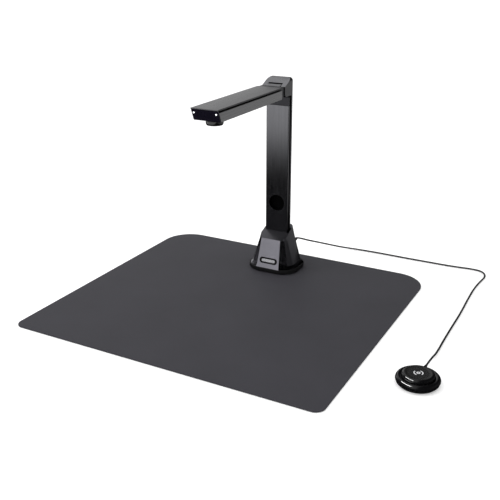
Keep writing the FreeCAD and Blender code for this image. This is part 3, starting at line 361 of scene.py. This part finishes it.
def make_materials():
    return {
        "arm": brushed("arm_aluminium", (0.136, 0.136, 0.143), 0.30, "Y"),
        "tray": brushed("tray_aluminium", (0.20, 0.20, 0.203), 0.30, "Y"),
        "column": brushed("column_aluminium", (0.096, 0.096, 0.102), 0.165, "Z"),
        "casting": cast("grey_casting", (0.21, 0.21, 0.222), 0.3, 0.95),
        "base": cast("base_casting", (0.225, 0.221, 0.248), 0.2, 1.0),
        # Painted shade: a darker copy of the base casting for the shoulder above the front panel and the
        # side facets, standing in for dark reflection and shade.
        "shoulder": cast("shoulder_painted_shade", (0.08, 0.079, 0.087), 0.25, 1.0),
        # Painted shade: a darker copy of the grey casting for the housing's side faces.
        "cheek": cast("cheek_painted_shade", (0.08, 0.08, 0.084), 0.36, 0.95),
        # Painted shade: a dark casting for the hinge block and the knuckle's front under the arm, standing
        # in for the arm's shadow.
        "block": cast("block_painted_shade", (0.045, 0.045, 0.05), 0.45, 0.8),
        # Matt black: the real colour of the small black parts, and also painted shade on the housing, the
        # arm cover's lip, the knuckle's neck and the column core.
        "matt_black": moulded("matt_black", (0.005, 0.005, 0.0055), 0.6, Specular_IOR_Level=0.2),
        # Painted shade: near black with almost no shine, for the inside of the lens nest's hollow.
        "void": moulded("deep_black", (0.001, 0.001, 0.0012), 0.7, Specular_IOR_Level=0.05),
        "rubber": moulded("black_rubber", (0.006, 0.006, 0.0065), 0.6, 1400, 0.4, Specular_IOR_Level=0.25),
        "gloss": glossy("black_gloss", (0.004, 0.004, 0.0045)),
        "window": glossy("black_window", (0.006, 0.005, 0.010), 0.1),
        "satin": glossy("satin_black", (0.012, 0.012, 0.012), 0.22, 0.3),
        "badge": turned_metal("bright_badge", (0.40, 0.40, 0.42), 0.2),
        "steel": turned_metal("turned_steel", (0.55, 0.55, 0.56), 0.3),
        "iron": cast("rough_iron", (0.1, 0.1, 0.105), 0.62),
        "bronze": turned_metal("bearing_bronze", (0.6, 0.4, 0.2), 0.3),
        "circuit": circuit(),
        "mat": mat_surface(),
        "lamp": lamp_white(),
        "glass": glass(),
        "ribbon": moulded("ribbon_film", (0.45, 0.28, 0.08), 0.35),
        "cord": moulded("cord_jacket", (0.014, 0.014, 0.015), 0.45, 2400, 0.2),
        "silver": moulded("silver_paint", (0.6, 0.6, 0.62), 0.35),
        "guide": light_guide(),
    }


NODE_LOOKS = {
    "arm": ["arm_cover", "arm_tray"],
    "column": ["column_slab"],
    "casting": ["rear_cover", "arm_knuckle"],
    "base": ["base_shell"],
    # The hinge block's dark look is painted shade from the arm above it.
    "block": ["hinge_block"],
    # The lens nest's near black is painted shade for its hollow.
    "void": ["lens_nest"],
    "matt_black": ["badge_bezel", "lens_ring", "button_socket", "puck_base", "puck_switch",
                   # column_core is matt black as painted shade for the groove between the slab and the
                   # spine.
                   "column_core"],
    "rubber": ["base_plinth", "foot_pad", "puck_foot", "puck_gland"],
    "gloss": ["puck_shell", "lens_barrel", "image_sensor"],
    "satin": ["puck_cap"],
    "window": ["head_window"],
    "badge": ["badge_plate"],
    "steel": ["column_foot", "base_screws", "arm_screws", "hinge_pin", "friction_washers", "usb_inlet"],
    "iron": ["ballast"],
    "bronze": ["hinge_bushes"],
    "circuit": ["io_board", "camera_board", "lamp_board", "puck_board"],
    "mat": ["work_mat"],
    "lamp": ["lamp_diffuser", "lamp_chips", "switch_plunger"],
    "glass": ["lens_glass"],
    "ribbon": ["column_cable", "arm_ribbon"],
    "cord": ["button_cord", "button_plug"],
    "silver": ["puck_icon"],
    "guide": ["status_lights"],
}


def dress(obj, material):
    obj.data.materials.clear()
    obj.data.materials.append(material)


def dress_frame(looks):
    for look, names in NODE_LOOKS.items():
        for name in names:
            dress(nodes[name], looks[look])


# --- Hard parts with eased edges ----------------------------------------------


def stands_for(piece, name):
    """The piece takes a CAD node's place and moves with its body."""
    scene.collection.objects.link(piece)
    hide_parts(name)
    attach(piece, nodes[name]["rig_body"])
    return piece


def eased(name, looks, width, pick=None):
    """A copy of a hard part whose sharp edges are rounded; pick gives each face's look by number."""
    form = bmesh.new()
    form.from_mesh(nodes[name].data)
    bmesh.ops.remove_doubles(form, verts=form.verts, dist=1e-6)
    bmesh.ops.dissolve_limit(form, angle_limit=math.radians(0.5), verts=form.verts, edges=form.edges)
    form.normal_update()
    for face in form.faces:
        face.smooth = True
        face.material_index = pick(face.calc_center_median(), face.normal) if pick else 0
    mesh = bpy.data.meshes.new(name + "_eased")
    form.to_mesh(mesh)
    form.free()
    if "custom_normal" in mesh.attributes:
        mesh.attributes.remove(mesh.attributes["custom_normal"])
    for look in looks:
        mesh.materials.append(look)
    piece = bpy.data.objects.new(name + "_eased", mesh)
    bevel = piece.modifiers.new("edges", "BEVEL")
    bevel.width, bevel.segments = width * MM, 2
    bevel.limit_method, bevel.angle_limit = "ANGLE", math.radians(28)
    bevel.harden_normals = True
    return stands_for(piece, name)


def rounded(profile, radius, steps=5):
    """A profile of (radius, height) points whose corners are replaced by arcs."""
    points = [Vector(p) for p in profile]
    out = [points[0]]
    for before, corner, after in zip(points, points[1:], points[2:]):
        back, ahead = before - corner, after - corner
        reach = min(radius, 0.45 * back.length, 0.45 * ahead.length)
        start, end = corner + back.normalized() * reach, corner + ahead.normalized() * reach
        for i in range(steps + 1):
            share = i / steps
            out.append((1 - share) ** 2 * start + 2 * share * (1 - share) * corner + share ** 2 * end)
    return out + [points[-1]]


def lathe(name, profile, centre, axis, look, turns=96):
    """A turned part in a CAD node's place; its profile is (radius, height) points in millimetres."""
    form = bmesh.new()
    rings = []
    for radius, height in profile:
        count = 1 if radius < 1e-6 else turns
        ring = []
        for i in range(count):
            angle = 2 * math.pi * i / turns
            across = Vector((radius * math.cos(angle), radius * math.sin(angle), height))
            if axis == "y":
                across = Vector((across.x, across.z, -across.y))
            ring.append(form.verts.new(centre + across * MM))
        rings.append(ring)
    for low, high in zip(rings, rings[1:]):
        for i in range(turns):
            j = (i + 1) % turns
            corners = [low[i % len(low)], low[j % len(low)], high[j % len(high)], high[i % len(high)]]
            face = form.faces.new(list(dict.fromkeys(corners)))
            face.smooth = True
    bmesh.ops.recalc_face_normals(form, faces=form.faces)
    mesh = bpy.data.meshes.new(name + "_turned")
    form.to_mesh(mesh)
    form.free()
    mesh.materials.append(look)
    return stands_for(bpy.data.objects.new(name + "_turned", mesh), name)


def closed(profile):
    return profile + [profile[0]]


# Heights of the hand button, in millimetres: the widest point of its ring, the foot of its cap, how deep
# the cap is dished, and half the thickness of the mark on it.
RING_WIDEST = 5.6
CAP_FOOT = 8.4
CAP_DISH = 0.6
MARK_LIFT = 0.14


def make_button(looks):
    """The hand button: a glossy ring, a dished cap with a rounded brow, and a silver touch mark."""
    low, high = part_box("puck_shell")
    centre = Vector(((low.x + high.x) / 2, (low.y + high.y) / 2, 0))
    edge = (high.x - low.x) / 2 / MM
    cap_low, cap_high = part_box("puck_cap")
    rim, top = (cap_high.x - cap_low.x) / 2 / MM, cap_high.z / MM
    ring_top, opening = high.z / MM, rim + 0.3
    ring = [(edge - 2.6, low.z / MM), (edge - 1.1, low.z / MM), (edge, RING_WIDEST),
            (edge - 0.4, RING_WIDEST + 2.3), (edge - 1.6, ring_top - 0.8), (edge - 3.2, ring_top),
            (edge - 5, ring_top - 0.2), (opening, ring_top - 0.7), (opening, ring_top - 2),
            (edge - 2.5, RING_WIDEST + 1.4)]
    shell = lathe("puck_shell", closed(rounded(ring, 1.6)), centre, "z", looks["gloss"])
    dish = top - CAP_DISH
    cap = [(rim - 1.8, CAP_FOOT), (rim, CAP_FOOT), (rim, top - 2.4), (rim - 0.7, top - 1.1),
           (rim - 2.2, top - 0.2), (rim - 3.6, top), (rim - 5.2, top - 0.4), (rim - 7, dish), (0, dish)]
    button = lathe("puck_cap", rounded(cap, 1.2), centre, "z", looks["satin"])
    button.data.materials.append(looks["gloss"])  # the brow is glossy, the dished top is satin
    for face in button.data.polygons:
        face.material_index = 1 if face.normal.z < 0.97 else 0
    lit = bpy.data.collections.new("button_glints")
    for piece in (shell, button):
        lit.objects.link(piece)
    bpy.data.objects["strip"].light_linking.receiver_collection = lit
    touch_mark(centre + Vector((0, 0, dish * MM)), looks["silver"])


def arc_band(form, centre, inner, outer, start, end, steps):
    """A flat raised band along an arc, angles in degrees."""
    lift = Vector((0, 0, MARK_LIFT * MM))
    loops = []
    for i in range(steps + 1):
        angle = math.radians(start + (end - start) * i / steps)
        way = Vector((math.cos(angle), math.sin(angle), 0))
        loops.append([form.verts.new(centre + way * r * MM + up) for r, up in
                      ((inner, -lift), (outer, -lift), (outer, lift), (inner, lift))])
    for a, b in zip(loops, loops[1:]):
        for k in range(4):
            form.faces.new((a[k], a[(k + 1) % 4], b[(k + 1) % 4], b[k]))
    if abs(end - start) < 360:
        form.faces.new(loops[0][::-1])
        form.faces.new(loops[-1])


def touch_mark(centre, look):
    """A plain touch symbol: a small ring between two arcs, in millimetres and degrees."""
    form = bmesh.new()
    half_span = 52
    arc_band(form, centre, 0.8, 2.4, 0, 360, 32)
    for middle in (28, 208):
        arc_band(form, centre, 4.4, 5.8, middle - half_span, middle + half_span, 18)
    bmesh.ops.remove_doubles(form, verts=form.verts, dist=1e-7)
    bmesh.ops.recalc_face_normals(form, faces=form.faces)
    mesh = bpy.data.meshes.new("touch_mark")
    form.to_mesh(mesh)
    form.free()
    mesh.materials.append(look)
    stands_for(bpy.data.objects.new("touch_mark", mesh), "puck_icon")


RIB_SLOPE = 0.2


def ribs(start, pitch, count, radius, taper, depth, crest, groove):
    """Rings along a tapering sleeve, each a crest and a groove of the given widths, in millimetres."""
    points = []
    for i in range(count):
        foot, size = start + pitch * i, radius - taper * i
        neck, bottom = size - depth, foot + crest + RIB_SLOPE
        points += [(size, foot), (size, foot + crest), (neck, bottom), (neck, bottom + groove)]
    return points


def front_end(box):
    """The middle of the front face of a node's box."""
    low, high = box
    return Vector(((low.x + high.x) / 2, low.y, (low.z + high.z) / 2))


def make_strain_reliefs(looks):
    """The ribbed sleeves where the cord leaves its plug and where it enters the hand button."""
    plug = [(0, 0), (1.0, 0), (1.75, 0.9), (1.75, 12.1), (3.1, 12.1), (3.5, 12.6), (3.5, 24.4), (3.0, 25)]
    plug += ribs(start=25.2, pitch=2.1, count=4, radius=2.85, taper=0.32, depth=0.7, crest=1.3, groove=0.4)
    plug += [(1.45, 33.8), (1.35, 34.0), (0, 34.0)]
    lathe("button_plug", rounded(plug, 0.25, 3), front_end(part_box("button_plug")), "y", looks["cord"], 48)
    gland = [(0, 0), (2.1, 0), (2.1, 8.5)]
    gland += ribs(start=8.7, pitch=1.5, count=3, radius=2.0, taper=0.2, depth=0.35, crest=0.8, groove=0.35)
    gland += [(1.35, 13.2), (1.3, 13.5), (0, 13.5)]
    lathe("puck_gland", rounded(gland, 0.2, 3), front_end(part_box("puck_gland")), "y", looks["rubber"], 48)


# The lens mount's radii and the height of the glass's seat, in millimetres.
LENS_NECK = 9.0
LENS_BORE = 8.8
LENS_THROAT = 7.5
LENS_SEAT = 4.9
SKIRT_GROOVE = 0.35


def make_lens(looks):
    """The lens mount with its stepped and grooved skirt."""
    low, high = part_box("lens_barrel")
    centre = Vector(((low.x + high.x) / 2, (low.y + high.y) / 2, low.z))
    wide, tall = (high.x - low.x) / 2 / MM, (high.z - low.z) / MM
    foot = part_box("arm_tray")[0].z / MM - low.z / MM
    waist = wide - SKIRT_GROOVE
    wall = [(LENS_THROAT, LENS_SEAT), (LENS_THROAT, tall), (LENS_NECK, tall), (LENS_NECK, foot),
            (wide, foot), (wide, foot - 1.2), (waist, foot - 1.4), (waist, foot - 1.9),
            (wide, foot - 2.1), (wide, 2), (wide - 0.9, 0), (9.6, 0), (9.3, 0.5), (LENS_BORE, 0.6),
            (LENS_BORE, LENS_SEAT)]
    lathe("lens_barrel", closed(rounded(wall, 0.3, 3)), centre, "z", looks["gloss"])


# Where the looks change on one part, in metres: above the front panel, where the base's painted shade
# begins; behind the arm's rear end, where the knuckle goes from painted shade under the arm to black
# painted shade on its neck; on top of the arm's ramp, which stays grey; and below the arm cover's upper
# face, where the lip is painted shade.
SHOULDER_FOOT = 0.054
NECK_FRONT = -0.0191
RAMP_FOOT = 0.2862
COVER_LIP = 1.25 * MM


def make_hard_parts(looks):
    """Edge widths are in millimetres; the last argument picks among a part's looks."""
    # Painted shade: faces above the front panel and the side facets take the darker shoulder copy of the
    # casting.
    eased("base_shell", [looks["base"], looks["shoulder"]], 1.4,
          lambda at, facing: 1 if at.z > SHOULDER_FOOT or abs(facing.x) > 0.75 else 0)
    eased("column_slab", [looks["column"]], 0.3)
    # Painted shade: the hinge block under the arm keeps the dark block look.
    eased("hinge_block", [looks["block"]], 0.4)
    # Painted shade: the housing's side faces take the darker cheek copy, and its front-facing and downward
    # faces, in the slab's shadow and under the overhang, are painted matt black.
    eased("rear_cover", [looks["casting"], looks["cheek"], looks["matt_black"]], 0.5,
          lambda at, facing: 1 if abs(facing.x) > 0.9 else 2 if facing.y < -0.9 or facing.z < -0.5 else 0)
    # Painted shade: the cover's lip below its upper face is matt black, standing in for the shadow in the
    # gap above the tray.
    eased("arm_cover", [looks["arm"], looks["matt_black"]], 0.25,
          lambda at, facing: 1 if at.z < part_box("arm_cover")[1].z - COVER_LIP else 0)
    eased("arm_tray", [looks["tray"]], 0.4)
    # Painted shade: the knuckle's front under the arm takes the dark block look, and its neck and lower
    # faces in the gap behind the arm are painted matt black. Only the ramp's top stays grey.
    eased("arm_knuckle", [looks["block"], looks["casting"], looks["matt_black"]], 0.4,
          lambda at, facing: 0 if at.y < NECK_FRONT else 1 if facing.z > 0.8 and at.z > RAMP_FOOT else 2)
    eased("head_window", [looks["window"]], 0.3)
    eased("badge_plate", [looks["badge"]], 0.3)
    eased("badge_bezel", [looks["matt_black"]], 0.2)


# --- Work mat -----------------------------------------------------------------

MAT_BACK_RADIUS = 0.045
MAT_FRONT_RADIUS = 0.013
MAT_EDGE_RADIUS = 0.0007
MAT_CORNER_STEPS = 24


def make_mat_sheet(look):
    """The work mat: a sheet with softly rounded upper and lower edges, laid on the desk."""
    low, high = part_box("work_mat")
    thick, middle = high.z - low.z, (low.y + high.y) / 2
    outline = []
    corners = ((high.x, high.y, MAT_BACK_RADIUS, 0), (low.x, high.y, MAT_BACK_RADIUS, 90),
               (low.x, low.y, MAT_FRONT_RADIUS, 180), (high.x, low.y, MAT_FRONT_RADIUS, 270))
    for x, y, radius, start in corners:
        centre = Vector((x - math.copysign(radius, x), y - math.copysign(radius, y - middle)))
        for i in range(MAT_CORNER_STEPS + 1):
            angle = math.radians(start + 90 * i / MAT_CORNER_STEPS)
            outline.append((centre, Vector((math.cos(angle), math.sin(angle))), radius))
    form = bmesh.new()
    # (inset, rise) up the edge, whose lower and upper corners are quarter circles of this radius
    soft, turns = MAT_EDGE_RADIUS, [math.pi * k / 12 for k in range(7)]
    levels = [(soft * (1 - math.sin(t)), soft * (1 - math.cos(t))) for t in turns]
    levels += [(soft * (1 - math.cos(t)), thick - soft * (1 - math.sin(t))) for t in turns]
    rings = [[form.verts.new((*(centre + way * (radius - inset)), low.z + rise))
              for centre, way, radius in outline] for inset, rise in levels]
    for below, above in zip(rings, rings[1:]):
        for i in range(len(outline)):
            j = (i + 1) % len(outline)
            form.faces.new((below[i], below[j], above[j], above[i])).smooth = True
    form.faces.new(rings[0][::-1])
    form.faces.new(rings[-1])
    mesh = bpy.data.meshes.new("mat_sheet")
    form.to_mesh(mesh)
    form.free()
    mesh.materials.append(look)
    piece = stands_for(bpy.data.objects.new("mat_sheet", mesh), "work_mat")


# --- Cord ---------------------------------------------------------------------

CORD_RADIUS = 0.00125
FLOOR_LINE = 0.00135
CORD_ROUTE = [
    (0.0130, 0.0470, 0.0352), (0.0134, 0.0560, 0.0322), (0.0210, 0.0690, 0.0256), (0.0330, 0.0840, 0.0191),
    (0.0475, 0.1010, 0.0114), (0.0640, 0.1165, 0.0044), (0.0860, 0.1264, FLOOR_LINE),
    (0.1200, 0.1280, FLOOR_LINE), (0.1660, 0.1272, FLOOR_LINE), (0.2120, 0.1275, FLOOR_LINE),
    (0.2500, 0.1281, FLOOR_LINE), (0.2760, 0.1319, FLOOR_LINE), (0.2944, 0.1298, FLOOR_LINE),
    (0.3030, 0.1128, FLOOR_LINE), (0.2999, 0.0900, FLOOR_LINE), (0.2974, 0.0580, FLOOR_LINE),
    (0.2984, 0.0140, FLOOR_LINE), (0.3002, -0.0340, FLOOR_LINE), (0.3000, -0.0800, FLOOR_LINE),
    (0.3005, -0.1260, FLOOR_LINE), (0.3014, -0.1570, FLOOR_LINE), (0.3008, -0.1820, 0.0052),
    (0.3007, -0.2016, 0.0062)]


def make_cord(looks):
    data = bpy.data.curves.new("button_cord_line", "CURVE")
    data.dimensions = "3D"
    spline = data.splines.new("NURBS")
    spline.points.add(len(CORD_ROUTE) - 1)
    for point, place in zip(spline.points, CORD_ROUTE):
        point.co = (*place, 1)
    spline.order_u = 3
    spline.use_endpoint_u = True
    spline.resolution_u = 10
    data.bevel_depth = CORD_RADIUS
    data.bevel_resolution = 4
    cord = bpy.data.objects.new("button_cord_line", data)
    scene.collection.objects.link(cord)
    data.materials.append(looks["cord"])
    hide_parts("button_cord")
    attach(cord, "stand")


# --- Scene --------------------------------------------------------------------

make_camera()
make_studio()
looks = make_materials()
dress_frame(looks)
make_hard_parts(looks)
make_button(looks)
make_strain_reliefs(looks)
make_lens(looks)
make_mat_sheet(looks["mat"])
make_cord(looks)
